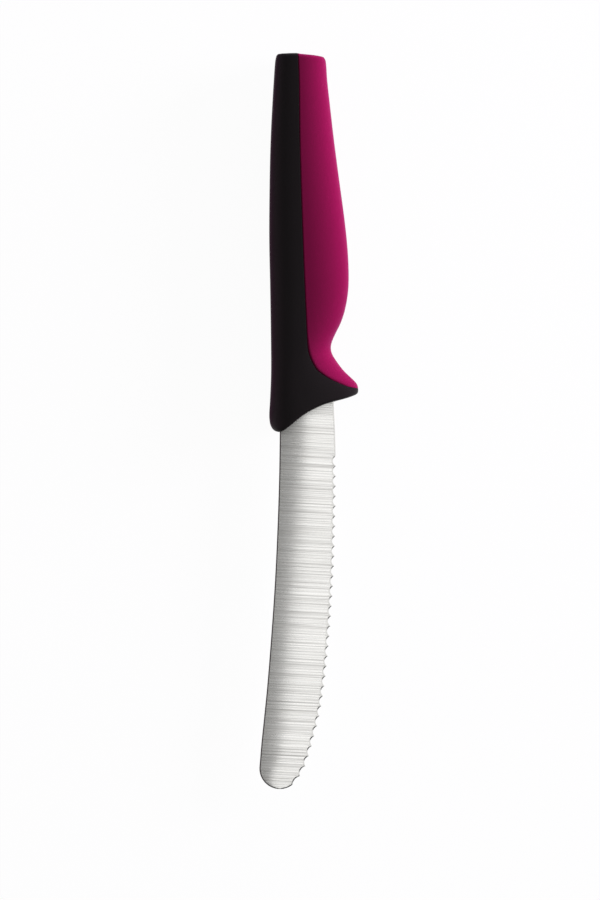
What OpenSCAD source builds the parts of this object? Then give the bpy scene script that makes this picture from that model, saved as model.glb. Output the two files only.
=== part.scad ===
// Serrated kitchen knife with a round tip and a two-colour moulded handle.
// It lies on its side: +X runs from the butt to the tip, +Y from the spine to the
// cutting edge, +Z up. The origin is under the middle of the knife, on the table.

/* [Blade] */
// Length of the blade from the heel of the bolster to the tip
blade_len = 107.1; // [90:0.1:120]
// Height of the cutting edge over the middle line, where the blade is widest
edge_h = 10.76; // [9.6:0.01:11.6]
// Depth of the spine under the middle line, at the bolster
spine_h = 6.07; // [5.2:0.01:6.8]
// How far the spine drops further on its way to the tip
spine_drop = 6.1; // [3:0.1:8]
// Radius of the round tip
tip_r = 6.15; // [5.4:0.05:6.6]
// Thickness of the steel sheet, as the tang keeps it
steel_t = 1.2; // [1:0.05:1.6]
// Steel ground off each face of the blade
face_grind = 0.05; // [0.03:0.01:0.1]
// Thickness left along the edge by the convex grind
edge_t = 0.46; // [0.36:0.02:0.7]
// Width of the convex grind along the edge
grind_w = 9.4; // [7.6:0.1:10.4]

/* [Serration] */
// Length of plain edge ahead of the bolster's heel before the first tooth
plain_edge = 7.2; // [4:0.05:16]
// Distance from tooth to tooth along the knife
tooth_pitch = 3; // [2.4:0.02:4]
// Depth of a scallop under the line through its two teeth
scallop_d = 0.85; // [0.5:0.05:1.1]
// Angle of the scallops' hollow grind to the flat of the blade
grind_angle = 18; // [14:1:26]

/* [Tang] */
// Length of the tang behind the shoulder of the blade
tang_len = 62; // [40:1:76]
// Width of the tang at the shoulder
tang_w = 9; // [7:0.1:10]
// Width of the tang at its end
tang_end_w = 7.4; // [6:0.1:8.6]
// Diameter of the holes that lock the tang in the handle
lock_hole_d = 4.2; // [3:0.1:5]
// How deep the full width of the blade goes into the bolster
blade_seat = 4; // [2.5:0.1:5.5]
// How far ahead of the bolster the ground faces of the blade begin
seat_lip = 0.3; // [0.2:0.05:1]

/* [Handle] */
// Length of the handle from the butt to the heel of the bolster
handle_len = 113.35; // [104:0.05:124]
// Thickness of the handle at its thickest
handle_t = 13; // [11.6:0.1:15]
// Thickness at the butt
butt_t = 10.4; // [9.6:0.1:12]
// Thickness at the finger recess
waist_t = 12.2; // [10.6:0.1:13]
// Width across the butt
butt_w = 14.6; // [13.4:0.1:16]
// Width across the belly of the grip
belly_w = 23.85; // [21.6:0.05:25]
// Width across the finger recess
waist_w = 17.95; // [16.6:0.05:19]
// Width across the bolster and its finger guard
guard_w = 26.7; // [24.4:0.1:28.4]
// Radius of the rounded rim of the bolster's front
front_r = 1; // [0.6:0.1:1.6]
// Radius of the rounded rim of the butt
butt_r = 1.2; // [0.6:0.1:1.8]

/* [Soft grip] */
// Thickness of the hard core under the soft grip
core_t = 6.2; // [5:0.1:6.8]
// Thickness of the soft grip over the edge of the core
grip_wall = 3.2; // [2.6:0.1:3.8]
// Length of each window in the core that locks the grip on
window_len = 12; // [8:0.5:14]
// Width of those windows
window_w = 2.8; // [2:0.1:3.2]
// Radius of the notches along the edge of the core
notch_r = 1.2; // [0.8:0.1:1.6]

/* [Hidden] */
$fn = 48;

knife_len = handle_len + blade_len;
over = 1;                        // overrun of a cut past what it cuts

// Heights across the knife are measured from the middle line of the blade: those of
// the spine are negative, those of the belly and of the cutting edge positive.
spine_y = -9.23;                 // spine of the grip, where it is deepest
spine_dip = 0.53;                // rise of the spine's line over the finger recess
heel_drop = 0.87;                // rounding of the bolster's heel, seen from the side
guard_drop = 0.27;               // rounding of the guard's tip, seen from the side
butt_rise = 1;                   // how far the butt's ends lie behind its middle
butt_spine_share = 0.495;
butt_spine_y = -butt_w * butt_spine_share;
butt_belly_y = butt_w + butt_spine_y;
belly_y = belly_w + spine_y;
waist_spine_y = spine_y + spine_dip;
waist_y = waist_w + waist_spine_y;
guard_y = guard_w + spine_y;
waist_share = 0.778;             // place of the finger recess along the handle

// Outline of the handle: share of its length, then share of the way from the first
// height to the second of each stretch
butt_to_spine_shares = [
    [0.008, 0], [0.022, 0.13], [0.069, 0.32], [0.122, 0.5], [0.201, 0.73],
    [0.28, 0.88], [0.38, 0.97], [0.49, 1]];
spine_to_dip_shares = [[0.625, 0.54], [0.78, 1], [0.85, 1], [0.916, 0.44], [0.955, 0]];
heel_shares = [[0.973, 0.17], [0.983, 0.49], [0.9907, 1]];
butt_to_belly_shares = [
    [0.009, 0], [0.021, 0.055], [0.069, 0.11], [0.122, 0.2], [0.228, 0.39],
    [0.333, 0.605], [0.44, 0.83], [0.519, 0.956], [0.585, 1], [0.631, 0.97]];
belly_to_waist_shares = [[0.678, 0.215], [0.711, 0.445], [0.743, 0.772], [0.763, 0.948]];
waist_to_guard_shares = [
    [waist_share, 0], [0.792, 0.04], [0.811, 0.19], [0.838, 0.475], [0.865, 0.86],
    [0.8745, 0.96], [0.886, 1]];
guard_tip_shares = [[0.894, 0.12], [0.8985, 1]];

// Front of the bolster: share of the way from spine to guard, share of the length
front_shares = [
    [0, 0.9907], [0.028, 0.9965], [0.075, 1], [0.122, 0.998], [0.192, 0.9873],
    [0.31, 0.9655], [0.38, 0.9535], [0.45, 0.9442], [0.591, 0.929],
    [0.732, 0.9191], [0.873, 0.9104], [0.967, 0.9028], [1, 0.8985]];
// Butt: share of the way from spine to belly, share of the butt's rise
butt_shares = [
    [0, 1], [0.025, 0.36], [0.08, 0.13], [0.2, 0.06], [0.42, 0], [0.5, 0.22], [0.74, 0.55],
    [0.9, 0.85], [0.965, 1.15], [1, 1.9]];
// Line between the two colours: share of the length, share of the guard's height
parting_shares = [
    [-0.02, -0.043], [0.069, -0.021], [0.2, -0.011], [0.323, 0.008], [0.45, 0.036],
    [0.577, 0.067], [0.7, 0.103], [0.767, 0.125], [0.79, 0.142], [0.806, 0.175],
    [0.822, 0.225], [0.8375, 0.292], [0.8465, 0.365], [0.8575, 0.473], [0.869, 0.626],
    [0.879, 0.79], [0.8828, 0.9], [0.8843, 1], [0.885, 1.12]];

// Thickness: share of the length, share of the way from the butt's to the full one,
// then from the full one to the waist's
swell_shares = [[0, 0], [0.12, 0.4], [0.25, 0.68], [0.4, 0.91], [0.54, 1]];
pinch_shares = [[0.62, 0], [waist_share, 1], [0.9, 0], [0.95, 0], [1, 0.2]];
// Where a section is thickest, and how square it is on either side of that
crest_share = 0.47;
spine_square = 3.4;
belly_square = 2.35;

// Cutting edge: share of the blade's length, share of the way from its greatest
// height to the end of the tip's arc
edge_shares = [
    [-0.15, 0.056], [-0.08, 0.057], [0, 0.02], [0.152, 0], [0.25, 0.014], [0.35, 0.034],
    [0.45, 0.082], [0.55, 0.146], [0.65, 0.226], [0.73, 0.314], [0.8, 0.426],
    [0.856, 0.556], [0.906, 0.684], [0.944, 0.815]];
// Spine of the blade: share of the way to the tip's centre, share of the drop
spine_shares = [
    [-0.2, 0], [0, 0], [0.15, 0.038], [0.3, 0.122], [0.45, 0.242], [0.6, 0.411],
    [0.75, 0.608], [0.86, 0.79], [0.93, 0.908]];
// Strokes of the convex grind: share of the blade's length where each meets the edge
stroke_shares = [0.15, 0.42, 0.6, 0.74, 0.84, 0.91, 0.96, 0.985];
shoulder_lean = 0.47;            // slope of the blade's shoulder inside the bolster
tang_mid_y = -0.2;
tang_hole_count = 3;
tang_hole_share = 0.29;          // share of the tang's length from hole to hole
notch_count = 4;
window_count = 2;

// A smooth curve through points, with the slope at each from its two neighbours
function span(p, x, i = 0) = i >= len(p) - 2 || x <= p[i + 1].x ? i : span(p, x, i + 1);
function slope(p, i) =
    let (a = max(i - 1, 0), b = min(i + 1, len(p) - 1))
    (p[b].y - p[a].y) / (p[b].x - p[a].x);
function curve(p, x) =
    let (i = span(p, x), run = p[i + 1].x - p[i].x, t = (x - p[i].x) / run)
    p[i].y * (1 + 2 * t) * (1 - t) ^ 2 + p[i + 1].y * t ^ 2 * (3 - 2 * t)
    + run * (slope(p, i) * t * (1 - t) ^ 2 + slope(p, i + 1) * t ^ 2 * (t - 1));
function mix(a, b, share) = a + (b - a) * share;
function place(shares, along, from, to) =
    [for (s = shares) [s.x * along, mix(from, to, s.y)]];

// Outlines of the handle in the plane of the blade
spine_line = concat(
    place(butt_to_spine_shares, handle_len, butt_spine_y, spine_y),
    place(spine_to_dip_shares, handle_len, spine_y, waist_spine_y),
    place(heel_shares, handle_len, spine_y, spine_y + heel_drop));
belly_line = concat(
    place(butt_to_belly_shares, handle_len, butt_belly_y, belly_y),
    place(belly_to_waist_shares, handle_len, belly_y, waist_y),
    place(waist_to_guard_shares, handle_len, waist_y, guard_y),
    place(guard_tip_shares, handle_len, guard_y, guard_y - guard_drop));
front_line = place(front_shares, 1, 0, handle_len);
butt_line = place(butt_shares, 1, 0, butt_rise);
half_t_line = concat(
    place(swell_shares, 1, butt_t / 2, handle_t / 2),
    place(pinch_shares, 1, handle_t / 2, waist_t / 2));

// A point of the handle's skin: s runs from the butt to the front, w from spine to belly
function plan_x(s, w) = mix(curve(butt_line, w), curve(front_line, w), s);
function plan_y(s, w) =
    mix(curve(spine_line, plan_x(s, 0)), curve(belly_line, plan_x(s, 1)), w);
function rim(d, r) = d >= r ? 0 : r - sqrt(r ^ 2 - (r - d) ^ 2);
function skin_z(s, bulge) =
    let (half = min(curve(half_t_line, s), handle_t / 2))
    bulge * (half - rim((1 - s) * handle_len, front_r) - rim(s * handle_len, butt_r));

// A section's top half, from spine to belly, as shares of its width and thickness
half_steps = 10;
section_shares = concat(
    [for (k = [half_steps:-1:1])
        let (a = 90 * k / half_steps)
        [crest_share * (1 - sin(a) ^ (2 / spine_square)), cos(a)]],
    [for (k = [0:half_steps])
        let (a = 90 * k / half_steps)
        [mix(crest_share, 1, sin(a) ^ (2 / belly_square)), cos(a)]]);

// Sections along the handle: closer together over the recess, the guard and the rims
rim_steps = 4;
zone_shares = [0.6, 0.8];
zone_steps = [20, 12, 18];
function rim_shares(r) =
    [for (k = [0:rim_steps]) r / handle_len * (1 - cos(90 * k / rim_steps))];
butt_end_share = butt_r / handle_len;
front_start_share = 1 - front_r / handle_len;
zones = [butt_end_share, each zone_shares, front_start_share];
section_places = concat(
    rim_shares(butt_r),
    [for (z = [0:2])
        for (k = [1:zone_steps[z]]) mix(zones[z], zones[z + 1], k / zone_steps[z])],
    [for (k = [rim_steps - 1:-1:0]) 1 - rim_shares(front_r)[k]]);

// The whole outside of the handle: rings of points along it, with a wall at each end
module handle_form() {
    last = len(section_shares) - 1;
    ring_n = 2 * last;
    points = [
        for (s = section_places)
            for (j = [0:ring_n - 1])
                let (top = j <= last, p = section_shares[top ? j : ring_n - j])
                [plan_x(s, p.x), plan_y(s, p.x), (top ? 1 : -1) * skin_z(s, p.y)]];
    rings = len(section_places);
    sides = [
        for (i = [0:rings - 2])
            for (j = [0:ring_n - 1])
                let (a = i * ring_n + j, b = i * ring_n + (j + 1) % ring_n)
                each [[a, b, b + ring_n], [a, b + ring_n, a + ring_n]]];
    butt_wall = [
        for (j = [0:last - 1])
            let (a = j, b = j + 1, c = ring_n - j - 1, d = (ring_n - j) % ring_n)
            each concat(b == c ? [] : [[a, c, b]], a == d ? [] : [[a, d, c]])];
    front = (rings - 1) * ring_n;
    front_wall = [for (f = butt_wall) [front + f[0], front + f[2], front + f[1]]];
    polyhedron(points, concat(sides, butt_wall, front_wall));
}

// A smooth line through points that may run in any direction
function through(p, i, t) =
    let (a = p[max(i - 1, 0)], b = p[i], c = p[i + 1], d = p[min(i + 2, len(p) - 1)])
    (2 * b + (c - a) * t + (2 * a - 5 * b + 4 * c - d) * t ^ 2
        + (3 * b - a - 3 * c + d) * t ^ 3) / 2;
parting_steps = 6;
parting_points = place(parting_shares, handle_len, 0, guard_y);
parting_line = [
    for (i = [0:len(parting_points) - 2])
        for (k = [0:parting_steps - 1]) through(parting_points, i, k / parting_steps)];

// Room for the soft grip: all on the belly's side of the parting line but the core
core_start = 2 * grip_wall;
core_end = guard_tip_shares[0].x * handle_len;
core_steps = 36;
waist_x = waist_share * handle_len;
function core_y(x) = curve(belly_line, min(x, waist_x)) - grip_wall;
window_pitch = window_len + 2 * window_w;
window_drop = 1.5 * window_w;    // depth of the windows' middle under the core's edge
window_x = waist_x - window_count * window_pitch;
notch_pitch = (window_x - core_start) / notch_count;

module core_outline() {
    xs = [for (k = [0:core_steps]) mix(core_start, core_end, k / core_steps)];
    difference() {
        polygon(concat(
            [[core_end, spine_y], [core_start, spine_y]], [for (x = xs) [x, core_y(x)]]));
        for (k = [0:window_count - 1]) {
            x = window_x + k * window_pitch;
            y = core_y(x + window_len / 2) - window_drop;
            translate([x, y - window_w / 2]) square([window_len, window_w]);
            for (end = [0, window_len]) translate([x + end, y]) circle(d = window_w);
        }
        for (k = [1:notch_count - 1]) {
            x = core_start + k * notch_pitch;
            translate([x, core_y(x)]) circle(r = notch_r);
        }
    }
}

module grip_room() {
    difference() {
        linear_extrude(handle_t + 2 * over, center = true)
            polygon(concat(
                parting_line,
                [[parting_line[len(parting_line) - 1].x, guard_w],
                    [parting_line[0].x, guard_w]]));
        linear_extrude(core_t, center = true) core_outline();
    }
}

// Outline of the blade from its shoulder to its round tip
heel_x = handle_len;
tip_x = knife_len - tip_r;
tip_y = -spine_h - spine_drop + tip_r;
tip_start = 265.5;               // the tip's arc leaves the spine at this angle
tip_end = 414;                   // and runs into the cutting edge at this one
edge_end_x = tip_x + tip_r * cos(tip_end);
edge_end_y = tip_y + tip_r * sin(tip_end);
edge_line = concat(
    [for (p = place(edge_shares, blade_len, edge_h, edge_end_y)) [heel_x + p.x, p.y]],
    [[edge_end_x, edge_end_y]]);
function edge_y(x) =
    x < edge_end_x ? curve(edge_line, x) : tip_y + sqrt(tip_r ^ 2 - (x - tip_x) ^ 2);
function edge_angle(x) =
    let (d = tooth_pitch / 4) atan((edge_y(x + d) - edge_y(x - d)) / (2 * d));
spine_end_x = tip_x + tip_r * cos(tip_start);
blade_spine = concat(
    [for (p = place(spine_shares, tip_x - heel_x, -spine_h, -spine_h - spine_drop))
        [heel_x + p.x, p.y]],
    [[spine_end_x, tip_y + tip_r * sin(tip_start)]]);

// Inside the bolster the blade ends in a slanting shoulder, behind the guard's front
front_edge_share = (edge_h - spine_y) / guard_w;
shoulder_x = curve(front_line, front_edge_share) - blade_seat;
shoulder_y = edge_y(shoulder_x);
heel_shoulder_x = shoulder_x + (shoulder_y + spine_h) * shoulder_lean;
tip_steps = 28;
outline_steps = 40;
module blade_outline() {
    polygon(concat(
        [for (k = [0:outline_steps - 1])
            let (x = mix(heel_shoulder_x, spine_end_x, k / outline_steps))
            [x, curve(blade_spine, x)]],
        [for (k = [0:tip_steps])
            let (a = mix(tip_start, tip_end, k / tip_steps))
            [tip_x + tip_r * cos(a), tip_y + tip_r * sin(a)]],
        [for (k = [outline_steps - 1:-1:0])
            let (x = mix(shoulder_x, edge_end_x, k / outline_steps)) [x, edge_y(x)]]));
}

// The seat in the bolster, which keeps the sheet's full thickness
seat_steps = 16;
module seat_outline() {
    intersection() {
        blade_outline();
        polygon(concat(
            [for (k = [0:seat_steps])
                let (w = k / seat_steps) [plan_x(1, w) + seat_lip, plan_y(1, w)]],
            [[shoulder_x - over, guard_y], [shoulder_x - over, spine_y]]));
    }
}

// The tang: a tapering strip with a round end and a row of lock holes
function shoulder_at(y) = shoulder_x + (shoulder_y - y) * shoulder_lean;
tang_end_x = shoulder_at(tang_mid_y) - tang_len;
tang_hole_pitch = tang_len * tang_hole_share;
module tang_outline() {
    near = tang_mid_y - tang_w / 2;
    far = tang_mid_y + tang_w / 2;
    difference() {
        union() {
            polygon([
                [shoulder_at(near) + over, near], [shoulder_at(far) + over, far],
                [tang_end_x, tang_mid_y + tang_end_w / 2],
                [tang_end_x, tang_mid_y - tang_end_w / 2]]);
            translate([tang_end_x, tang_mid_y]) circle(d = tang_end_w);
        }
        for (k = [0:tang_hole_count - 1])
            translate([tang_end_x + lock_hole_d + k * tang_hole_pitch, tang_mid_y])
                circle(d = lock_hole_d);
    }
}

// What one stroke takes off a face: an arc that starts flush with the flat, grind_w
// inside the edge, and is deepest at the edge
blade_t = steel_t - 2 * face_grind;
hollow = (blade_t - edge_t) / 2;
stroke_r = (grind_w ^ 2 + hollow ^ 2) / (2 * hollow);
module stroke(x) {
    reach = blade_len;
    translate([x, edge_y(x), 0])
        rotate([0, 0, edge_angle(x)])
            translate([0, -grind_w, blade_t / 2])
                difference() {
                    translate([-reach, 0, -hollow]) cube([2 * reach, reach, 2 * hollow]);
                    translate([0, 0, -stroke_r])
                        rotate([0, 90, 0])
                            cylinder(r = stroke_r, h = 3 * reach, center = true, $fn = 720);
                }
}

// Blade, seat and tang as they are before the teeth are ground
module blade_blank() {
    difference() {
        linear_extrude(blade_t, center = true) blade_outline();
        for (share = stroke_shares, face = [0, 1])
            mirror([0, 0, face]) stroke(heel_x + share * blade_len);
    }
    linear_extrude(steel_t, center = true) {
        seat_outline();
        tang_outline();
    }
}

// The grinding wheel's path through one scallop, which leaves its bevel on the back
tooth_x = heel_x + plain_edge;
plain_tip = 0.1 * tip_r;         // length at the tip that no scallop reaches
tooth_count = floor((knife_len - plain_tip - tooth_x) / tooth_pitch);
module scallop(x) {
    a = edge_angle(x);
    half = tooth_pitch / 2 / cos(a);
    depth = scallop_d * cos(a);
    drop = depth * sin(grind_angle);
    r = (half ^ 2 + drop ^ 2) / (2 * drop);
    translate([x, edge_y(x), edge_t / 2])
        rotate([0, 0, a])
            translate([0, -depth, 0])
                rotate([grind_angle - 90, 0, 0])
                    translate([0, r, 0])
                        cylinder(r = r, h = 4 * r, center = true);
}

module blade() {
    color("gainsboro")
        difference() {
            blade_blank();
            for (k = [0:tooth_count - 1]) scallop(tooth_x + (k + 0.5) * tooth_pitch);
        }
}

// Hard black body: bolster, finger guard, spine side and the core under the grip
module handle_body() {
    color([0.09, 0.08, 0.085])
        difference() {
            handle_form();
            grip_room();
            blade_blank();
        }
}

// Soft magenta grip: belly, finger recess and the back of the guard
module soft_grip() {
    color([0.62, 0.08, 0.32])
        intersection() {
            handle_form();
            grip_room();
        }
}

// The middle line of the blade comes to its place over the table
mid_y = (guard_y + tip_y - tip_r) / 2;
module lay_down() {
    translate([-knife_len / 2, -mid_y, handle_t / 2]) children();
}

lay_down() blade();
lay_down() handle_body();
lay_down() soft_grip();
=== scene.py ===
from math import asin, atan, atan2, cos, degrees, hypot, inf, pi, radians, sin, sqrt

import bpy
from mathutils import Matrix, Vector


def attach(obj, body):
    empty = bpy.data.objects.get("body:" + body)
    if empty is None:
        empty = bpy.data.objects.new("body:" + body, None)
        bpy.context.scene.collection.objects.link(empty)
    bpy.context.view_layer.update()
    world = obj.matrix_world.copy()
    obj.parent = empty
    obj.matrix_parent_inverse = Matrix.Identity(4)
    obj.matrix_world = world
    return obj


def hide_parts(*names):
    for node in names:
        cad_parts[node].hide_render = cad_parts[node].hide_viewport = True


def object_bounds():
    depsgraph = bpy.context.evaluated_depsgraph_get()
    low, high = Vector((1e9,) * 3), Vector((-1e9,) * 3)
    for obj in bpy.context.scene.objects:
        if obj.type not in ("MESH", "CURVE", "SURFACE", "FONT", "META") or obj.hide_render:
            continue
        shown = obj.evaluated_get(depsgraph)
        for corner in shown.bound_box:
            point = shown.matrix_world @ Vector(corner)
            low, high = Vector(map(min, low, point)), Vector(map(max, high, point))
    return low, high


# A serrated kitchen knife with a two-colour moulded handle, lying on its side.
# X runs from the butt to the tip and Y from the spine to the cutting edge.

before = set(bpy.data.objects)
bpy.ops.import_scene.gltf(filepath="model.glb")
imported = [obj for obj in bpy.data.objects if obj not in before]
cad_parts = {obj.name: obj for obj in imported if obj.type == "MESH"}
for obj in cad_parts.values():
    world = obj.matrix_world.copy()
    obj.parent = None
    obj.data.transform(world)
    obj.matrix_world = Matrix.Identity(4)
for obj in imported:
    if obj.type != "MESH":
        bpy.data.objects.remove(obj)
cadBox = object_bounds()
print("frame loaded:", ", ".join(sorted(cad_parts)))

mm = 0.001
weldGap = 0.003 * mm       # points closer than this become one
sliverGap = weldGap / 10   # edges and faces smaller than this go
least = 1e-9               # keeps a division away from zero
halvings = 50              # of the range in which a zero is looked for

# Places along the knife are in mm from the butt, places across it in mm from the blade's
# middle line, and heights in mm from the middle of the knife's thickness
knife = {
    "handleLength": 113.35,
    "bladeLength": 107.1,
    "spineLow": -9.23,   # deepest point of the handle's spine
    "tipLow": -12.17,    # deepest point of the blade's tip
}
knifeLength = knife["handleLength"] + knife["bladeLength"]
knifeOrigin = Vector((
    cadBox[1].x - knifeLength * mm,
    cadBox[0].y - knife["tipLow"] * mm,
    (cadBox[0].z + cadBox[1].z) / 2))


def onKnife(along, across, height):
    return knifeOrigin + Vector((along, across, height)) * mm


# Helpers for outlines

def mix(low, high, share):
    return low + (high - low) * share


def steps(low, high, count):
    return [mix(low, high, k / count) for k in range(count + 1)]


def placed(shares, length, low, high):
    return [(along * length, mix(low, high, across)) for along, across in shares]


def slopeAt(points, i):
    before, after = points[max(i - 1, 0)], points[min(i + 1, len(points) - 1)]
    return (after[1] - before[1]) / (after[0] - before[0])


def lineAt(points, x):
    # height at x of the smooth line through the points
    i = 0
    while i < len(points) - 2 and x > points[i + 1][0]:
        i += 1
    (x0, y0), (x1, y1) = points[i], points[i + 1]
    run = x1 - x0
    t = (x - x0) / run
    return (y0 * (1 + 2 * t) * (1 - t) ** 2 + y1 * t ** 2 * (3 - 2 * t)
            + run * (slopeAt(points, i) * t * (1 - t) ** 2
                     + slopeAt(points, i + 1) * t ** 2 * (t - 1)))


def zeroOf(test, low, high):
    # where test changes sign between low and high
    lowSide = test(low) > 0
    for _ in range(halvings):
        middle = (low + high) / 2
        if (test(middle) > 0) == lowSide:
            low = middle
        else:
            high = middle
    return (low + high) / 2


def roundDrop(depth, radius):
    # how far a rounded rim lies under the flat, at a depth inside the rim
    return 0 if depth >= radius else radius - sqrt(radius ** 2 - (radius - depth) ** 2)


# Helpers for pieces

def pickNone():
    bpy.ops.object.select_all(action="DESELECT")


def pickOnly(piece):
    pickNone()
    piece.select_set(True)
    bpy.context.view_layer.objects.active = piece


def skinOver(name, loops):
    # a sheet wrapped over closed loops of points, all with as many points
    pickNone()
    bpy.ops.mesh.primitive_grid_add(
        x_subdivisions=len(loops[0]), y_subdivisions=len(loops) - 1, size=1)
    piece = bpy.context.object
    piece.name = name
    spots = [point for loop in loops for point in loop + loop[:1]]
    for vert, spot in zip(piece.data.vertices, spots):
        vert.co = onKnife(*spot)
    return piece


def closeMesh(piece):
    # points that nearly touch become one, and faces point outwards
    pickOnly(piece)
    bpy.ops.object.mode_set(mode="EDIT")
    bpy.ops.mesh.select_all(action="SELECT")
    bpy.ops.mesh.remove_doubles(threshold=weldGap)
    bpy.ops.mesh.dissolve_degenerate(threshold=sliverGap)
    bpy.ops.mesh.normals_make_consistent(inside=False)
    bpy.ops.object.mode_set(mode="OBJECT")


def smoothUnder(piece, angle):
    # smooth shading where faces meet at less than the angle in degrees
    pickOnly(piece)
    bpy.ops.object.shade_smooth_by_angle(angle=radians(angle))


def cutWith(piece, tool, operation="DIFFERENCE"):
    pickOnly(piece)
    cut = piece.modifiers.new("cut", "BOOLEAN")
    cut.operation = operation
    cut.solver = "MANIFOLD"
    cut.object = tool
    bpy.ops.object.modifier_apply(modifier=cut.name)
    bpy.data.objects.remove(tool)


# Colours and nodes

def linear(hexColour):
    # an sRGB hex colour as linear light
    parts = [int(hexColour[k:k + 2], 16) / 255 for k in (1, 3, 5)]
    return (*[p / 12.92 if p <= 0.04045 else ((p + 0.055) / 1.055) ** 2.4 for p in parts], 1)


def addNode(tree, kind, settings={}, links={}):
    # a node with its settings and its input values, and what feeds its inputs
    node = tree.nodes.new(kind)
    for name, value in settings.items():
        if isinstance(name, int) or name in node.inputs:
            node.inputs[name].default_value = value
        else:
            setattr(node, name, value)
    for name, source in links.items():
        tree.links.new(source, node.inputs[name])
    return node


def newMaterial(name, settings):
    material = bpy.data.materials.new(name)
    material.use_nodes = True
    tree = material.node_tree
    skin = tree.nodes["Principled BSDF"]
    for socket, value in settings.items():
        skin.inputs[socket].default_value = value
    return material, tree, skin


def placeIn(tree, size, turn):
    # the place on the object, counted in steps of the given size in mm along X, Y and Z
    place = addNode(tree, "ShaderNodeTexCoord")
    mapped = addNode(tree, "ShaderNodeMapping", {
        "vector_type": "TEXTURE", "Rotation": (0, 0, radians(turn)),
        "Scale": [side * mm for side in size]}, {"Vector": place.outputs["Object"]})
    return mapped.outputs[0]


def grainAt(tree, size, turn=0, detail=2.0):
    # noise with a grain of that size
    noise = addNode(tree, "ShaderNodeTexNoise", {"Scale": 1.0, "Detail": detail}, {
        "Vector": placeIn(tree, size, turn)})
    return noise.outputs[0]


def linesAt(tree, size, turn, wander):
    # wandering lines one step apart: the node's own wave is pi / 10 long
    wave = addNode(tree, "ShaderNodeTexWave", {
        "Scale": pi / 10, "Distortion": wander, "Detail": 2.0}, {
        "Vector": placeIn(tree, size, turn)})
    return wave.outputs["Fac"]


noiseRange = (0.3, 0.7)   # nearly all of a noise lies in it


def colourBy(tree, skin, low, high, patterns):
    # the colour goes from low to high as the patterns rise: each comes with the least share
    # that it leaves of high, and the range in which it rises to all of it
    share = None
    for pattern, leastShare, start, end in patterns:
        rise = addNode(tree, "ShaderNodeMapRange", {
            "From Min": start, "From Max": end, "To Min": leastShare}, {"Value": pattern})
        if share:
            rise = addNode(tree, "ShaderNodeMath", {"operation": "MULTIPLY"}, {
                0: share, 1: rise.outputs[0]})
        share = rise.outputs[0]
    colour = addNode(tree, "ShaderNodeMix", {
        "data_type": "RGBA", 6: linear(low), 7: linear(high)}, {0: share})
    tree.links.new(colour.outputs[2], skin.inputs["Base Color"])


def roughenBy(tree, skin, pattern, low, high):
    # the roughness goes from low to high as the pattern rises
    rise = addNode(tree, "ShaderNodeMapRange", {
        "From Min": noiseRange[0], "From Max": noiseRange[1],
        "To Min": low, "To Max": high}, {"Value": pattern})
    tree.links.new(rise.outputs[0], skin.inputs["Roughness"])


def raiseBy(tree, skin, pattern, depth, strength):
    # the surface rises with the pattern, by the depth in mm
    bump = addNode(tree, "ShaderNodeBump", {
        "Strength": strength, "Distance": depth * mm}, {"Height": pattern})
    tree.links.new(bump.outputs[0], skin.inputs["Normal"])


blackFinish = {
    "colour": "#0c0709",
    "roughness": (0.46, 0.54),
    "specular": 0.18,
    "grain": (0.16, 0.16, 0.16),   # in mm, coarser than the real one, so that it shows
    "grainDepth": 0.006,
    "grainStrength": 0.35,
}


def blackMoulding():
    # moulded polypropylene from a lightly sparked mould: deep black with a satin glow
    material, tree, skin = newMaterial("satinPolypropylene", {
        "Base Color": linear(blackFinish["colour"]),
        "Specular IOR Level": blackFinish["specular"]})
    grain = grainAt(tree, blackFinish["grain"])
    roughenBy(tree, skin, grain, *blackFinish["roughness"])
    raiseBy(tree, skin, grain, blackFinish["grainDepth"], blackFinish["grainStrength"])
    return material


magentaFinish = {
    "colour": "#6a0634",
    "deepColour": "#5d052c",
    "sheen": "#e880dc",
    "sheenWeight": 0.25,
    "sheenRoughness": 0.4,
    "roughness": (0.56, 0.66),
    "specular": 0.06,
    "grain": (0.22, 0.22, 0.22),   # in mm, coarser than the real one, so that it shows
    "grainDetail": 3.0,
    "grainDepth": 0.012,
    "grainStrength": 0.5,
}


def magentaElastomer():
    # soft-touch elastomer moulded over the handle: matt, with a fine dry grain and a soft bloom
    material, tree, skin = newMaterial("softTouchElastomer", {
        "Specular IOR Level": magentaFinish["specular"],
        "Sheen Weight": magentaFinish["sheenWeight"],
        "Sheen Roughness": magentaFinish["sheenRoughness"],
        "Sheen Tint": linear(magentaFinish["sheen"])})
    grain = grainAt(tree, magentaFinish["grain"], detail=magentaFinish["grainDetail"])
    colourBy(tree, skin, magentaFinish["deepColour"], magentaFinish["colour"], [
        (grain, 0, *noiseRange)])
    roughenBy(tree, skin, grain, *magentaFinish["roughness"])
    raiseBy(tree, skin, grain, magentaFinish["grainDepth"], magentaFinish["grainStrength"])
    return material


steelFinish = {
    "colour": "#fffefb",
    "lineColour": "#bebcb8",
    "roughness": (0.38, 0.2),   # of the dark lines, and of the bright steel between them
    "anisotropic": 0.95,
    "slant": -3.0,              # of the brushing, in degrees
    # Width, length and depth in mm, wider than the real scratches, so that they show
    "fineLines": (0.22, 60.0, 3.0),
    "broadLines": (1.4, 60.0, 6.0),
    "beltLines": (0.85, 60.0, 3.0),   # the first is how far apart they lie
    "lineDetail": 1.0,
    "beltWander": 6.0,          # how far the belt's lines stray from straight
    # Least share of the bright steel, and the range in which a pattern rises to all of it
    "fineShade": (0.25, 0.3, 0.47),
    "broadShade": (0.86, 0.3, 0.5),
    "beltShade": (0.72, 0, 0.7),
}


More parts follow.
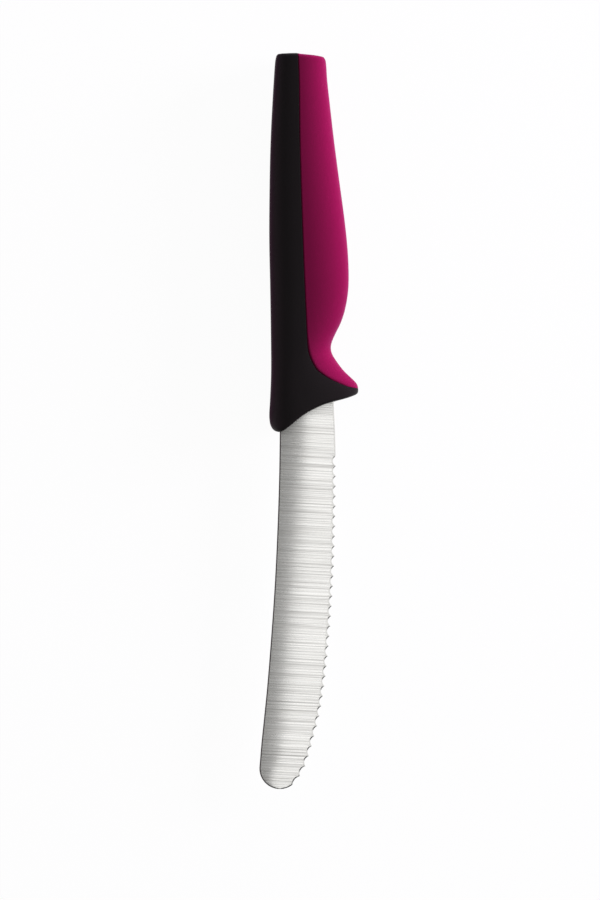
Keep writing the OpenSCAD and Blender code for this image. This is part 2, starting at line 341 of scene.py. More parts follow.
def brushedSteel():
    # stainless sheet brushed across the blade: long fine lines that stretch each reflection
    material, tree, skin = newMaterial("brushedStainless", {
        "Metallic": 1.0, "Anisotropic": steelFinish["anisotropic"]})
    slant, detail = steelFinish["slant"], steelFinish["lineDetail"]
    fine = grainAt(tree, steelFinish["fineLines"], slant, detail)
    broad = grainAt(tree, steelFinish["broadLines"], slant, detail)
    belt = linesAt(tree, steelFinish["beltLines"], slant, steelFinish["beltWander"])
    colourBy(tree, skin, steelFinish["lineColour"], steelFinish["colour"], [
        (fine, *steelFinish["fineShade"]),
        (broad, *steelFinish["broadShade"]),
        (belt, *steelFinish["beltShade"])])
    roughenBy(tree, skin, fine, *steelFinish["roughness"])
    acrossLines = addNode(tree, "ShaderNodeCombineXYZ", {0: 1.0, 1: sin(radians(slant))})
    tree.links.new(acrossLines.outputs[0], skin.inputs["Tangent"])
    return material


def plainSteel(name, finish):
    # steel whose colour wanders with its grain
    material, tree, skin = newMaterial(name, {
        "Metallic": 1.0, "Roughness": finish["roughness"]})
    colourBy(tree, skin, *finish["colours"], [
        (grainAt(tree, finish["grain"]), 0, *noiseRange)])
    return material


# the rims' colours are painted shade: steel this dark stands in for the dark reflections along
# the rims
tumbledPaintedShadeFinish = {
    "colours": ("#4e4c4b", "#62605e"),
    "roughness": 0.4,
    "grain": (0.3, 0.3, 0.3),
}


def tumbledPaintedShadeSteel():
    # the blanked rims, only tumbled, so duller than the brushed faces, and darker by painted
    # shade
    return plainSteel("tumbledStainlessPaintedShade", tumbledPaintedShadeFinish)


groundFinish = {
    "colours": ("#d4d2cf", "#eeedea"),
    "roughness": 0.24,
    "grain": (0.12, 2.0, 0.12),   # width, length and depth of the wheel's lines in mm
}


def groundSteel():
    # the hollow-ground teeth: bright, with the wheel's fine lines
    return plainSteel("groundStainless", groundFinish)


# The handle's form

handleForm = {
    "fullThick": 13.0,
    "buttThick": 10.4,
    "waistThick": 12.2,
    "buttWidth": 14.6,
    "buttSpineShare": 0.495,
    "buttRise": 1.0,       # how far the butt's ends lie behind its middle
    "bellyWidth": 23.85,
    "waistWidth": 17.95,
    "guardWidth": 26.7,
    "spineDip": 0.53,      # rise of the spine's line over the finger recess
    "heelDrop": 0.87,      # rounding of the bolster's heel, seen from the side
    "guardDrop": 0.27,     # rounding of the guard's tip, seen from the side
    "buttRim": 1.2,        # radius of the rim
    "frontRim": 1.0,
    "crestShare": 0.47,    # where across its width a section is thickest
    "spineSquare": 3.4,    # how square a section is on its spine's side
    "bellySquare": 2.35,
    "bodyLip": (0.2, 0.35),   # width and drop of the lip beside the line between the colours
    "gripLip": (0.4, 0.35),
    "guardLip": (1.0, 0.55),  # the grip's lip on the guard
    "lipGrowth": (0.8, 0.86),   # shares of the length between which one becomes the other
    "lipHold": 1.25,       # lip widths from the line to a point that keeps the skin's shading
    "lipClear": 1.5,       # lip widths from the line to the first of the skin's even points
    "lipClearShare": 0.7,  # most of the way to the belly that this may be
    "gripEndRange": (0.9, 1),   # shares of the length between which the grip ends
    "smoothAngle": 40,
    "bodyPoints": 40,
    "gripPoints": 34,
    "lipPoints": 4,
    "rimRings": 6,
    "zoneEnds": [0.8, 0.93],     # shares of the length where the rings' spacing changes
    "zoneRings": [84, 34, 40],
    # Outline: share of the handle's length, share of the way between two heights
    "buttToSpine": [
        (0.008, 0), (0.022, 0.13), (0.069, 0.32), (0.122, 0.5), (0.201, 0.73),
        (0.28, 0.88), (0.38, 0.97), (0.49, 1)],
    "spineToDip": [(0.625, 0.54), (0.78, 1), (0.85, 1), (0.916, 0.44), (0.955, 0)],
    "heel": [(0.973, 0.17), (0.983, 0.49), (0.9907, 1)],
    "buttToBelly": [
        (0.009, 0), (0.021, 0.055), (0.069, 0.11), (0.122, 0.2), (0.228, 0.39),
        (0.333, 0.605), (0.44, 0.83), (0.519, 0.956), (0.585, 1), (0.631, 0.97)],
    "bellyToWaist": [(0.678, 0.215), (0.711, 0.445), (0.743, 0.772), (0.763, 0.948)],
    "waistToGuard": [
        (0.778, 0), (0.792, 0.04), (0.811, 0.19), (0.838, 0.475), (0.865, 0.86),
        (0.8745, 0.96), (0.886, 0.9985)],
    "guardTip": [(0.894, 0.12), (0.8985, 1)],
    # Front: share of the way from spine to guard, share of the handle's length
    "front": [
        (0, 0.9907), (0.028, 0.9965), (0.075, 1), (0.122, 0.998), (0.192, 0.9873),
        (0.31, 0.9655), (0.38, 0.9535), (0.45, 0.9442), (0.591, 0.929),
        (0.732, 0.9191), (0.873, 0.9104), (0.967, 0.9028), (1, 0.8985)],
    # Butt: share of the way from spine to belly, share of the butt's rise
    "butt": [
        (0, 1), (0.025, 0.36), (0.08, 0.13), (0.2, 0.06), (0.42, 0.018), (0.5, 0.22),
        (0.74, 0.55), (0.9, 0.85), (0.965, 1.15), (1, 1.9)],
    # Line between the colours: share of the handle's length, share of the guard's height
    "parting": [
        (-0.02, -0.043), (0.069, -0.021), (0.2, -0.011), (0.323, 0.008), (0.45, 0.036),
        (0.577, 0.067), (0.7, 0.103), (0.767, 0.125), (0.79, 0.142), (0.806, 0.175),
        (0.822, 0.225), (0.8375, 0.292), (0.8465, 0.365), (0.8575, 0.473),
        (0.869, 0.626), (0.879, 0.79), (0.8828, 0.9), (0.8843, 1), (0.885, 1.12)],
    # Thickness: share of the length, share of the way between two thicknesses
    "swell": [(0, 0), (0.12, 0.4), (0.25, 0.68), (0.4, 0.91), (0.54, 1)],
    "pinch": [(0.62, 0), (0.778, 1), (0.9, 0), (0.95, 0), (1, 0.2)],
}


def handleLines(form):
    length = knife["handleLength"]
    spine = knife["spineLow"]
    dip = spine + form["spineDip"]
    buttSpine = -form["buttWidth"] * form["buttSpineShare"]
    buttBelly = buttSpine + form["buttWidth"]
    belly = spine + form["bellyWidth"]
    waist = dip + form["waistWidth"]
    guard = spine + form["guardWidth"]
    full, thin = form["fullThick"] / 2, form["buttThick"] / 2
    return {
        "spine": placed(form["buttToSpine"], length, buttSpine, spine)
        + placed(form["spineToDip"], length, spine, dip)
        + placed(form["heel"], length, spine, spine + form["heelDrop"]),
        "belly": placed(form["buttToBelly"], length, buttBelly, belly)
        + placed(form["bellyToWaist"], length, belly, waist)
        + placed(form["waistToGuard"], length, waist, guard)
        + placed(form["guardTip"], length, guard, guard - form["guardDrop"]),
        "front": placed(form["front"], 1, 0, length),
        "butt": placed(form["butt"], 1, 0, form["buttRise"]),
        "half": placed(form["swell"], 1, thin, full)
        + placed(form["pinch"], 1, full, form["waistThick"] / 2),
        "parting": placed(form["parting"], length, 0, guard),
    }


handleLine = handleLines(handleForm)


def onPlan(s, w):
    # a point of the handle seen from the side: s from butt to front, w from spine to belly
    def along(share):
        return mix(lineAt(handleLine["butt"], share), lineAt(handleLine["front"], share), s)
    return (along(w), mix(
        lineAt(handleLine["spine"], along(0)), lineAt(handleLine["belly"], along(1)), w))


def crestSide(w):
    crest = handleForm["crestShare"]
    return (crest, handleForm["spineSquare"]) if w < crest else (
        1 - crest, handleForm["bellySquare"])


def onSkin(s, w, drop=0):
    # a point of the handle's upper skin, some way under it on a lip
    length = knife["handleLength"]
    half = min(lineAt(handleLine["half"], s), handleForm["fullThick"] / 2)
    half -= roundDrop(s * length, handleForm["buttRim"])
    half -= roundDrop((1 - s) * length, handleForm["frontRim"])
    side, square = crestSide(w)
    offCrest = min(abs(w - handleForm["crestShare"]) / side, 1)
    return (*onPlan(s, w), max(half * sqrt(1 - offCrest ** square) - drop, 0))


def widthTurn(w):
    # a section's points are even in this angle, which crowds them at spine and belly
    return asin(max(-1, min((w - handleForm["crestShare"]) / crestSide(w)[0], 1)))


def widthAt(turn):
    crest = handleForm["crestShare"]
    return crest + sin(turn) * (crest if turn < 0 else 1 - crest)


def partingY(x):
    return lineAt(handleLine["parting"], min(x, handleLine["parting"][-1][0]))


def pastParting(s, w):
    along, across = onPlan(s, w)
    return across - partingY(along)


def partingAt(s):
    # where across a section the colours meet, and the share of it that a mm takes there
    if pastParting(s, 1) <= 0:
        return 1, 0
    w = zeroOf(lambda share: pastParting(s, share), 0, 1)
    tiny = 0.001
    (x0, y0), (x1, y1) = onPlan(s, w - tiny), onPlan(s, w)
    rise = (partingY(x1) - partingY(x1 - tiny)) / tiny
    across = abs((y1 - y0) - rise * (x1 - x0)) / hypot(1, rise) / tiny
    return w, 1 / across


def lipOf(s, w, lip, perMm, side):
    # the rounded lip on one side of the line between the colours, from its top down
    width, drop = lip
    reach = min(width * perMm, (1 - w) / 2)
    drop *= reach / (width * perMm) if perMm else 0
    turns = steps(0, pi / 2, handleForm["lipPoints"])[1:]
    hold = [(handleForm["lipHold"] * reach, 0), (reach, 0)]
    curl = [(reach * (1 - sin(turn)), drop * (1 - cos(turn))) for turn in turns]
    return [onSkin(s, w + side * away, under) for away, under in hold + curl]


def gripLipAt(s):
    # the grip's lip, which widens where it runs onto the guard
    low, high = handleForm["lipGrowth"]
    share = max(0, min((s - low) / (high - low), 1))
    return [mix(a, b, share) for a, b in zip(handleForm["gripLip"], handleForm["guardLip"])]


def mirrored(points):
    return [(along, across, -height) for along, across, height in points]


def lipEnd(w, lip, perMm, side):
    # where across a section the skin's even points end beside a lip
    return w + side * min(
        handleForm["lipClear"] * lip[0] * perMm, (1 - w) * handleForm["lipClearShare"])


def bodyLoop(s):
    w, perMm = partingAt(s)
    lip = handleForm["bodyLip"]
    turns = steps(-pi / 2, widthTurn(lipEnd(w, lip, perMm, -1)), handleForm["bodyPoints"])
    top = [onSkin(s, widthAt(turn)) for turn in turns] + lipOf(s, w, lip, perMm, -1)
    wall = [(*top[-1][:2], 0)]
    return top + wall + mirrored(top[:0:-1])


def gripLoop(s):
    w, perMm = partingAt(s)
    lip = gripLipAt(s)
    turns = steps(widthTurn(lipEnd(w, lip, perMm, 1)), pi / 2, handleForm["gripPoints"])
    top = lipOf(s, w, lip, perMm, 1)[::-1] + [onSkin(s, widthAt(turn)) for turn in turns]
    wall = [(*top[0][:2], 0)]
    return top + mirrored(top[-2::-1]) + wall


def flattened(loop, share):
    return [(along, across, height * share) for along, across, height in loop]


def ringPlaces(form):
    length = knife["handleLength"]
    turns = steps(0, pi / 2, form["rimRings"])
    buttRings = [form["buttRim"] / length * (1 - cos(turn)) for turn in turns]
    frontRings = [1 - form["frontRim"] / length * (1 - cos(turn)) for turn in turns[::-1]]
    ends = [buttRings[-1], *form["zoneEnds"], frontRings[0]]
    places = list(buttRings)
    for low, high, count in zip(ends, ends[1:], form["zoneRings"]):
        places += steps(low, high, count)[1:]
    return places + frontRings[1:]


wallShares = (0, 0.5)   # of the height, where the loops lie that close an end
rings = ringPlaces(handleForm)
gripEnd = zeroOf(lambda s: pastParting(s, 1), *handleForm["gripEndRange"])


def makeHandleBody():
    places = sorted(rings + [gripEnd])
    loops = [bodyLoop(s) for s in places]
    buttWall = [flattened(loops[0], share) for share in wallShares]
    frontWall = [flattened(loops[-1], share) for share in wallShares[::-1]]
    body = skinOver("handleBody", buttWall + loops + frontWall)
    closeMesh(body)
    return body


def makeSoftGrip():
    places = [s for s in rings if s < gripEnd] + [gripEnd]
    loops = [gripLoop(s) for s in places]
    buttWall = [flattened(loops[0], share) for share in wallShares]
    grip = skinOver("softGrip", buttWall + loops)
    closeMesh(grip)
    return grip


handleBody = makeHandleBody()
softGrip = makeSoftGrip()
handleBody.data.materials.append(blackMoulding())
softGrip.data.materials.append(magentaElastomer())
for piece in (handleBody, softGrip):
    smoothUnder(piece, handleForm["smoothAngle"])
print("handle modelled")

# The blade

steels = (brushedSteel(), tumbledPaintedShadeSteel(), groundSteel())
tumbledPaintedShadeSlot, groundSlot = 1, 2   # their places in that row

bladeForm = {
    "edgeHeight": 10.76,
    "spineDepth": 6.07,
    "tipRadius": 6.15,
    "thick": 1.1,
    "edgeThick": 0.46,
    "grindWidth": 9.4,
    "seat": 4.0,            # how deep the full width goes into the bolster
    "shoulderLean": 0.47,
    "tipStart": 265.5,      # the tip's arc leaves the spine at this angle
    "tipEnd": 54.0,         # and runs into the cutting edge at this one
    "rim": 0.36,            # width of the rims
    "rimDrop": 0.26,
    "thinRimShare": 0.85,   # of half the thickness, where that is less
    "rimReach": 0.42,       # most of the way across that a rim may take
    "leastSlant": 0.2,      # the squareness to the outline under which a rim widens no more
    "rimSwell": 1.3,        # 1 for a flat chamfer, 2 for a soft rounding
    "rimPoints": 5,
    "holdPoint": 0.06,      # keeps the flat's shading flat up to the rim
    "acrossPoints": 12,
    "plainRings": 40,
    "tipRings": 20,
    "shoulderStep": 0.5,    # from the shoulder to the next ring
    "rungReach": 7,         # rungs on either side in which the nearest outline is looked for
    "traceStart": 10.0,     # of the unground edge's points, behind the shoulder
    "traceEnd": 40.0,       # their end on the tip's arc, in degrees
    "tracePoints": 160,
    "traceReach": 14.0,     # how far along the blade the nearest edge is looked for
    "crown": 0.1,           # swell of the faces across the blade
    "smoothAngle": 30,
    # Edge: share of the blade's length, share of the way from full height to the tip's arc
    "edge": [
        (-0.15, 0.056), (-0.08, 0.057), (0, 0.02), (0.152, 0), (0.25, 0.014),
        (0.35, 0.034), (0.45, 0.082), (0.55, 0.146), (0.65, 0.226), (0.73, 0.314),
        (0.8, 0.426), (0.856, 0.556), (0.906, 0.684), (0.944, 0.815)],
    # Spine: share of the way to the tip's middle, share of the drop to the tip's lowest point
    "spine": [
        (-0.2, 0), (0, 0), (0.15, 0.038), (0.3, 0.122), (0.45, 0.242), (0.6, 0.411),
        (0.75, 0.608), (0.86, 0.79), (0.93, 0.908)],
}

serration = {
    "plainEdge": 7.2,       # edge ahead of the bolster's heel before the first tooth
    "pitch": 3.0,
    "depth": 0.85,
    "count": 33,
    "grindAngle": 18.0,     # of the hollow grind on the back
    "arcPoints": 12,
    "endReach": 1.7,        # half pitches in which a scallop's ends are looked for
    "land": 0.2,            # wall that the hollow grind leaves along the edge
    "wheelPoints": 128,
    "wheelLength": 4,       # in radii
}

heelX = knife["handleLength"]
tipX = knifeLength - bladeForm["tipRadius"]
tipY = knife["tipLow"] + bladeForm["tipRadius"]


def onTip(turn):
    radius = bladeForm["tipRadius"]
    return tipX + radius * cos(radians(turn)), tipY + radius * sin(radians(turn))


def bladeLines(form):
    edgeEnd, spineEnd = onTip(form["tipEnd"]), onTip(form["tipStart"])
    edge = placed(form["edge"], knife["bladeLength"], form["edgeHeight"], edgeEnd[1])
    spine = placed(form["spine"], tipX - heelX, -form["spineDepth"], knife["tipLow"])
    return {
        "edge": [(heelX + along, across) for along, across in edge] + [edgeEnd],
        "spine": [(heelX + along, across) for along, across in spine] + [spineEnd],
    }


bladeLine = bladeLines(bladeForm)


def tipHalf(x):
    return sqrt(max(bladeForm["tipRadius"] ** 2 - (x - tipX) ** 2, 0))


def edgeY(x):
    return lineAt(bladeLine["edge"], x) if x < bladeLine["edge"][-1][0] else tipY + tipHalf(x)


def spineY(x):
    return lineAt(bladeLine["spine"], x) if x < bladeLine["spine"][-1][0] else tipY - tipHalf(x)


def edgeTurn(x):
    step = serration["pitch"] / 4
    return atan((edgeY(x + step) - edgeY(x - step)) / (2 * step))


def wheelAt(tooth):
    # the grinding wheel's place, direction, radius and depth at one scallop
    x = heelX + serration["plainEdge"] + (tooth + 0.5) * serration["pitch"]
    turn = edgeTurn(x)
    half = serration["pitch"] / 2 / cos(turn)
    depth = serration["depth"] * cos(turn)
    drop = depth * sin(radians(serration["grindAngle"]))
    return {
        "x": x, "y": edgeY(x), "depth": depth, "half": half,
        "radius": (half ** 2 + drop ** 2) / (2 * drop), "turn": turn}


wheels = [wheelAt(tooth) for tooth in range(serration["count"])]


def wheelDepth(wheel, u):
    cut = wheel["radius"] - sqrt(wheel["radius"] ** 2 - u ** 2)
    return cut / sin(radians(serration["grindAngle"])) - wheel["depth"]


def onScallop(wheel, u):
    w = wheelDepth(wheel, u)
    return (wheel["x"] + u * cos(wheel["turn"]) - w * sin(wheel["turn"]),
            wheel["y"] + u * sin(wheel["turn"]) + w * cos(wheel["turn"]))


def inScallop(wheel, x, y):
    # how far a point lies inside what the wheel takes off
    dx, dy = x - wheel["x"], y - wheel["y"]
    u = dx * cos(wheel["turn"]) + dy * sin(wheel["turn"])
    w = dy * cos(wheel["turn"]) - dx * sin(wheel["turn"])
    return w - wheelDepth(wheel, max(-wheel["radius"], min(u, wheel["radius"])))


def pastEdge(x, y):
    return y - edgeY(min(x, knifeLength))


def scallopEnds(tooth):
    # where a scallop meets the next ones, or the plain edge at either end of the row
    wheel = wheels[tooth]
    reach = wheel["half"] * serration["endReach"]
    if tooth == 0:
        start = zeroOf(lambda u: pastEdge(*onScallop(wheel, u)), -reach, 0)
    else:
        start = zeroOf(lambda u: inScallop(wheels[tooth - 1], *onScallop(wheel, u)), -reach, 0)
    if tooth == len(wheels) - 1:
        end = zeroOf(lambda u: pastEdge(*onScallop(wheel, u)), 0, reach)
    else:
        end = zeroOf(lambda u: inScallop(wheels[tooth + 1], *onScallop(wheel, u)), 0, reach)
    return start, end


frontShare = (bladeForm["edgeHeight"] - knife["spineLow"]) / handleForm["guardWidth"]
shoulderX = lineAt(handleLine["front"], frontShare) - bladeForm["seat"]
heelShoulderX = shoulderX + bladeForm["shoulderLean"] * (
    edgeY(shoulderX) + bladeForm["spineDepth"])


def bladeRungs():
    # pairs of a spine point and an edge point, from the shoulder to the tip
    firstTooth = heelX + serration["plainEdge"]
    starts = [(heelShoulderX, shoulderX)]
    starts += [(x, x) for x in steps(
        heelShoulderX + bladeForm["shoulderStep"], firstTooth, bladeForm["plainRings"])]
    rungs = [((low, spineY(low)), (high, edgeY(high))) for low, high in starts[:-1]]
    for tooth, wheel in enumerate(wheels):
        start, end = scallopEnds(tooth)
        count = serration["arcPoints"]
        for k in range(count):
            x = firstTooth + (tooth + k / count) * serration["pitch"]
            rungs.append(((x, spineY(x)), onScallop(wheel, mix(start, end, k / count))))
    lastX, lastY = onScallop(wheels[-1], scallopEnds(len(wheels) - 1)[1])
    lastTurn = degrees(atan2(lastY - tipY, lastX - tipX))
    for turn in steps(lastTurn, 0, bladeForm["tipRings"]):
        x, y = onTip(turn)
        rungs.append(((x, 2 * tipY - y), (x, y)))
    return rungs


def toChain(chain, x, y):
    # distance from a point to a chain of points
    best = inf
    for (x0, y0), (x1, y1) in zip(chain, chain[1:]):
        run = max((x1 - x0) ** 2 + (y1 - y0) ** 2, least)
        t = max(0, min(((x - x0) * (x1 - x0) + (y - y0) * (y1 - y0)) / run, 1))
        best = min(best, hypot(x0 + t * (x1 - x0) - x, y0 + t * (y1 - y0) - y))
    return best


edgeTrace = [(x, edgeY(x)) for x in steps(
    shoulderX - bladeForm["traceStart"], onTip(bladeForm["traceEnd"])[0],
    bladeForm["tracePoints"])]


def toEdge(x, y):
    # distance from the edge as it was before the teeth were ground
    near = [spot for spot in edgeTrace if abs(spot[0] - x) <= bladeForm["traceReach"]]
    return toChain(near, x, y)


def bladeHalf(x, y, share):
    # half the sheet's thickness: nearly flat by the spine, ground convex towards the edge
    form = bladeForm
    hollow = (form["thick"] - form["edgeThick"]) / 2
    inGrind = max(0, 1 - toEdge(x, y) / form["grindWidth"])
    swell = form["crown"] * (share * (2 - share) - 1)
    return form["thick"] / 2 - hollow * inGrind ** 2 + swell * (1 - inGrind)


def slantAt(rungs, i, end):
    # how squarely rung i meets the outline at one of its ends
    before, after = rungs[max(i - 1, 0)][end], rungs[min(i + 1, len(rungs) - 1)][end]
    (x0, y0), (x1, y1) = rungs[i]
    tangent = (after[0] - before[0], after[1] - before[1])
    cross = abs(tangent[0] * (y1 - y0) - tangent[1] * (x1 - x0))
    return cross / max(hypot(*tangent) * hypot(x1 - x0, y1 - y0), least)


def toOutline(rungs, i, x, y):
    # distance of a point on rung i from the outline close by
    reach = bladeForm["rungReach"]
    near = rungs[max(i - reach, 0):i + reach + 1]
    return min(toChain([rung[end] for rung in near], x, y) for end in (0, 1))


def bladeLoop(rungs, i):
    form = bladeForm
    low, high = rungs[i]
    length = max(hypot(high[0] - low[0], high[1] - low[1]), least)
    turns = steps(0, pi / 2, form["rimPoints"])
    inward = [form["rim"] * sin(turn) ** 2 for turn in turns]
    inward.append(form["rim"] + form["holdPoint"])
    slants = [max(slantAt(rungs, i, end), form["leastSlant"]) for end in (0, 1)]
    ends = [
        [min(depth / slant / length, form["rimReach"] * depth / inward[-1]) for depth in inward]
        for slant in slants]
    between = steps(ends[0][-1], 1 - ends[1][-1], form["acrossPoints"])[1:-1]
    shares = ends[0] + between + [1 - share for share in ends[1][::-1]]
    top = []
    for share in shares:
        spot = (mix(low[0], high[0], share), mix(low[1], high[1], share))
        half = bladeHalf(*spot, share)
        inRim = max(0, 1 - toOutline(rungs, i, *spot) / form["rim"])
        drop = min(form["rimDrop"], form["thinRimShare"] * half) * inRim ** form["rimSwell"]
        top.append((*spot, half - drop))
    return top + mirrored(top[::-1])


def markRims(blade, loopLength):
    # spine and tip keep their tumbled rims, darkened by painted shade, and the edge shows the
    # steel that the wheel left
    half = loopLength // 2
    rim = bladeForm["rimPoints"]
    tipFaces = len(blade.data.polygons) - bladeForm["tipRings"] * loopLength
    for k, face in enumerate(blade.data.polygons):
        column = k % loopLength % half
        if column < rim or column >= half - 1 or (column >= half - 1 - rim and k > tipFaces):
            face.material_index = tumbledPaintedShadeSlot
        elif column >= half - 1 - rim:
            face.material_index = groundSlot


def makeBlade():
    rungs = bladeRungs()
    loops = [bladeLoop(rungs, i) for i in range(len(rungs))]
    blade = skinOver("knifeBlade", [flattened(loops[0], 0)] + loops)
    for steel in steels:
        blade.data.materials.append(steel)
    markRims(blade, len(loops[0]))
    closeMesh(blade)
    return blade


def wheelTool(picked):
    # one object of all the picked wheels, which don't touch each other
    tools = []
    for wheel in picked:
        radius = wheel["radius"]
        lean = radians(serration["grindAngle"] - 90)
        across = -wheel["depth"] + radius * cos(lean)
        height = bladeForm["edgeThick"] / 2 - serration["land"] + radius * sin(lean)
        centre = onKnife(
            wheel["x"] - across * sin(wheel["turn"]),
            wheel["y"] + across * cos(wheel["turn"]), height)
        pickNone()
        bpy.ops.mesh.primitive_cylinder_add(
            vertices=serration["wheelPoints"], radius=radius * mm,
            depth=serration["wheelLength"] * radius * mm,
            location=centre, rotation=(lean, 0, wheel["turn"]))
        tools.append(bpy.context.object)
    pickOnly(tools[0])
    for tool in tools:
        tool.select_set(True)
    bpy.ops.object.join()
    wheelRow = bpy.context.object
    wheelRow.data.materials.append(steels[groundSlot])
    return wheelRow


# The tang, which the handle hides

tang = {
    "length": 62.0,         # from the shoulder to the middle of the round end
    "width": 9.0,
    "endWidth": 7.4,
    "thick": 1.2,
    "middle": -0.2,
    "rim": 0.15,
    "overlap": 2.0,         # how far it runs on into the blade
    "holeWidth": 4.2,
    "holeShare": 0.29,      # of the length, from hole to hole
    "holes": 3,
    "endRings": 12,
    "leastHalf": 0.01,      # half the width of the first ring of the round end
    "holePoints": 64,
    "toolLength": 4,        # of a hole's cutting tool, in sheet thicknesses
}
tangShoulderX = shoulderX + (edgeY(shoulderX) - tang["middle"]) * bladeForm["shoulderLean"]
tangEndX = tangShoulderX - tang["length"]


def tangLoop(x):
    radius = tang["endWidth"] / 2
    if x < tangEndX:
        half = sqrt(max(radius ** 2 - (x - tangEndX) ** 2, tang["leastHalf"] ** 2))
    else:
        half = mix(radius, tang["width"] / 2, (x - tangEndX) / tang["length"])
    rim = min(tang["rim"], half / 2)
    full = tang["thick"] / 2
    top = [(x, tang["middle"] + across, height) for across, height in (
        (-half, full - rim), (rim - half, full), (half - rim, full), (half, full - rim))]
    return top + mirrored(top[::-1])


def makeTang():
    radius = tang["endWidth"] / 2
    turns = steps(0, pi / 2, tang["endRings"])
    places = [tangEndX - radius * cos(turn) for turn in turns]
    places.append(tangShoulderX + tang["overlap"])
    loops = [tangLoop(x) for x in places]
    piece = skinOver("tang", [flattened(loops[0], 0)] + loops + [flattened(loops[-1], 0)])
    closeMesh(piece)
    return piece


def addHole(k):
    x = tangEndX + tang["holeWidth"] + k * tang["length"] * tang["holeShare"]
    pickNone()
    bpy.ops.mesh.primitive_cylinder_add(
        vertices=tang["holePoints"], radius=tang["holeWidth"] / 2 * mm,
        depth=tang["toolLength"] * tang["thick"] * mm, location=onKnife(x, tang["middle"], 0))
    return bpy.context.object


knifeBlade = makeBlade()
print("blade outline modelled")
cutWith(knifeBlade, makeTang(), "UNION")
for k in range(tang["holes"]):
    cutWith(knifeBlade, addHole(k))
print("tang joined, with its lock holes")
for start in (0, 1):
    cutWith(knifeBlade, wheelTool(wheels[start::2]))
print("teeth ground:", len(wheels))

smoothUnder(knifeBlade, bladeForm["smoothAngle"])

for piece, node, slotName in (
        (handleBody, "handle_body", "black_plastic"),
        (softGrip, "soft_grip", "magenta_rubber"),
        (knifeBlade, "blade", "blade_steel")):
    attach(piece, "root")
    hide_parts(node)

# Floor, light and camera

studio = {
    "floorSize": 12.0,
    "floorLightness": 0.9,          # as linear light
    "worldStrength": 0.27,
    "floorGlow": 0.96,              # how much of the floor's own white the eye sees
    "cameraHeight": 1.35,
    "photoMiddle": (8.53, -2.65),   # the picture's middle, mm from the knife's
    "lens": 180.0,
    "sensor": 36.0,
    "clipEnd": 50.0,
    # Name, place, size, power and colour of each soft lamp, and if gloss shows it
    "softboxes": [
        ("softboxRight", (-0.35, 1.1, 0.22), (0.6, 0.4), 42, "#f4e6ff", False),
        ("softboxButt", (-1.1, 0.4, 0.12), (0.6, 0.3), 14, "#f4e6ff", False),
        ("softboxLeft", (0.1, -1.1, 0.45), (0.6, 0.4), 1.5, "#ffc8e6", True)],
    # Name, middle, size along X, Y and Z, turn and colour of each card that only metal
    # and gloss see
    "cards": [
        ("flagSpine", (0.0, -0.3534, 0.0715), (0.7, 0.7, 0.0), -4.7, "#939393"),
        ("flagRight", (0.0, 0.77, 1.0), (2.4, 1.1, 0.0), 0.0, "#e2e2e2"),
        ("cardTip", (0.3, 0.0, 0.14), (0.0, 1.0, 0.28), 0.0, "#1c1c1c"),
        ("cardButt", (-0.153, -0.14, 0.0004), (0.314, 0.25, 0.0), 0.0, "#b080a0")],
}


def seenDirectly(tree):
    # 1 for what the eye, metal and glass see, and 0 for light that bounces
    rays = addNode(tree, "ShaderNodeLightPath")
    seen = rays.outputs["Is Camera Ray"]
    for other in ("Is Glossy Ray", "Is Transmission Ray"):
        seen = addNode(tree, "ShaderNodeMath", {"operation": "MAXIMUM"}, {
            0: seen, 1: rays.outputs[other]}).outputs[0]
    return seen


def makeWorld():
    world = bpy.data.worlds.new("softStudio")
    bpy.context.scene.world = world
    world.use_nodes = True
    tree = world.node_tree
    tree.nodes.clear()
    soft = addNode(tree, "ShaderNodeBackground", {
        "Color": linear("#ffffff"), "Strength": studio["worldStrength"]})
    white = addNode(tree, "ShaderNodeBackground", {"Color": linear("#ffffff"), "Strength": 1.0})
    both = addNode(tree, "ShaderNodeMixShader", {}, {
        0: seenDirectly(tree), 1: soft.outputs[0], 2: white.outputs[0]})
    addNode(tree, "ShaderNodeOutputWorld", {}, {"Surface": both.outputs[0]})


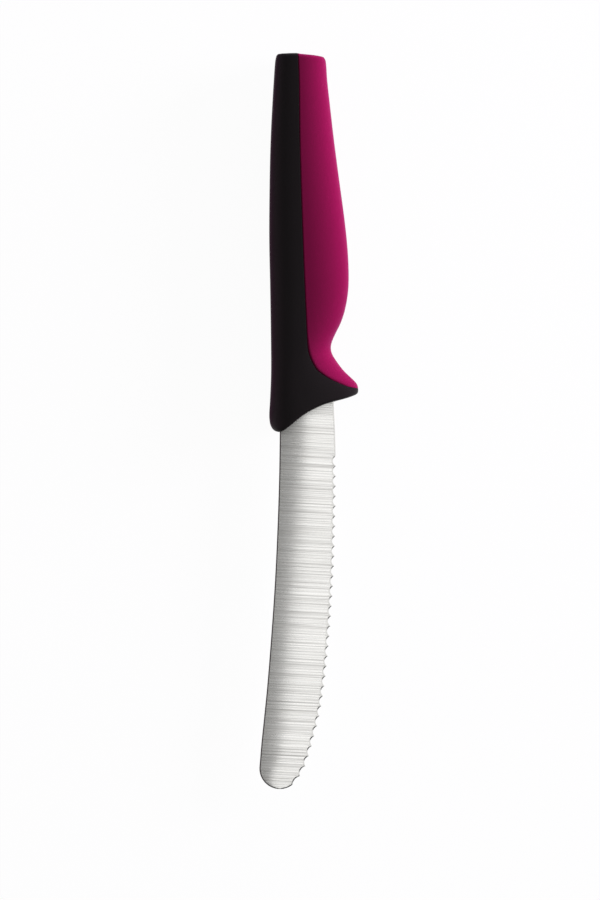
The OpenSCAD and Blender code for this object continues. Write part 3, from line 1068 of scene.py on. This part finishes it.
def makeFloor():
    pickNone()
    bpy.ops.mesh.primitive_plane_add(size=studio["floorSize"], location=(0, 0, cadBox[0].z))
    floor = bpy.context.object
    floor.name = "floor"
    material, tree, skin = newMaterial("whiteSweep", {
        "Base Color": (*[studio["floorLightness"]] * 3, 1), "Roughness": 1.0,
        "Specular IOR Level": 0.0})
    glow = addNode(tree, "ShaderNodeEmission", {"Color": linear("#ffffff"), "Strength": 1.0})
    share = addNode(tree, "ShaderNodeMath", {"operation": "MULTIPLY", 1: studio["floorGlow"]}, {
        0: seenDirectly(tree)})
    both = addNode(tree, "ShaderNodeMixShader", {}, {
        0: share.outputs[0], 1: skin.outputs[0], 2: glow.outputs[0]})
    tree.links.new(both.outputs[0], tree.nodes["Material Output"].inputs["Surface"])
    floor.data.materials.append(material)


def addSoftbox(name, place, size, power, colour, inGloss):
    bpy.ops.object.light_add(type="AREA", location=place)
    lamp = bpy.context.object
    lamp.name = name
    lamp.data.shape = "RECTANGLE"
    lamp.data.size, lamp.data.size_y = size
    lamp.data.energy = power
    lamp.data.color = linear(colour)[:3]
    lamp.visible_glossy = inGloss
    lamp.rotation_euler = (-Vector(place)).to_track_quat("-Z", "Y").to_euler()


def addCard(name, place, size, turn, colour):
    # a card hung out of the light's way, which darkens reflections and nothing else
    pickNone()
    bpy.ops.mesh.primitive_cube_add(
        size=1, location=place, scale=size, rotation=(0, 0, radians(turn)))
    card = bpy.context.object
    card.name = name
    material, tree = newMaterial(name, {"Base Color": linear("#000000")})[:2]
    glow = addNode(tree, "ShaderNodeEmission", {"Color": linear(colour)})
    tree.links.new(glow.outputs[0], tree.nodes["Material Output"].inputs["Surface"])
    card.data.materials.append(material)
    card.visible_camera = False
    card.visible_diffuse = False
    card.visible_shadow = False


def makeCamera():
    bpy.ops.object.camera_add(
        location=(studio["photoMiddle"][0] * mm, studio["photoMiddle"][1] * mm,
                  knifeOrigin.z + studio["cameraHeight"]),
        rotation=(0, 0, radians(90)))
    camera = bpy.context.object
    camera.data.lens = studio["lens"]
    camera.data.sensor_width = studio["sensor"]
    camera.data.clip_end = studio["clipEnd"]
    bpy.context.scene.camera = camera


makeWorld()
makeFloor()
for softbox in studio["softboxes"]:
    addSoftbox(*softbox)
for card in studio["cards"]:
    addCard(*card)
makeCamera()
bpy.context.scene.view_settings.view_transform = "Standard"
print("studio set")
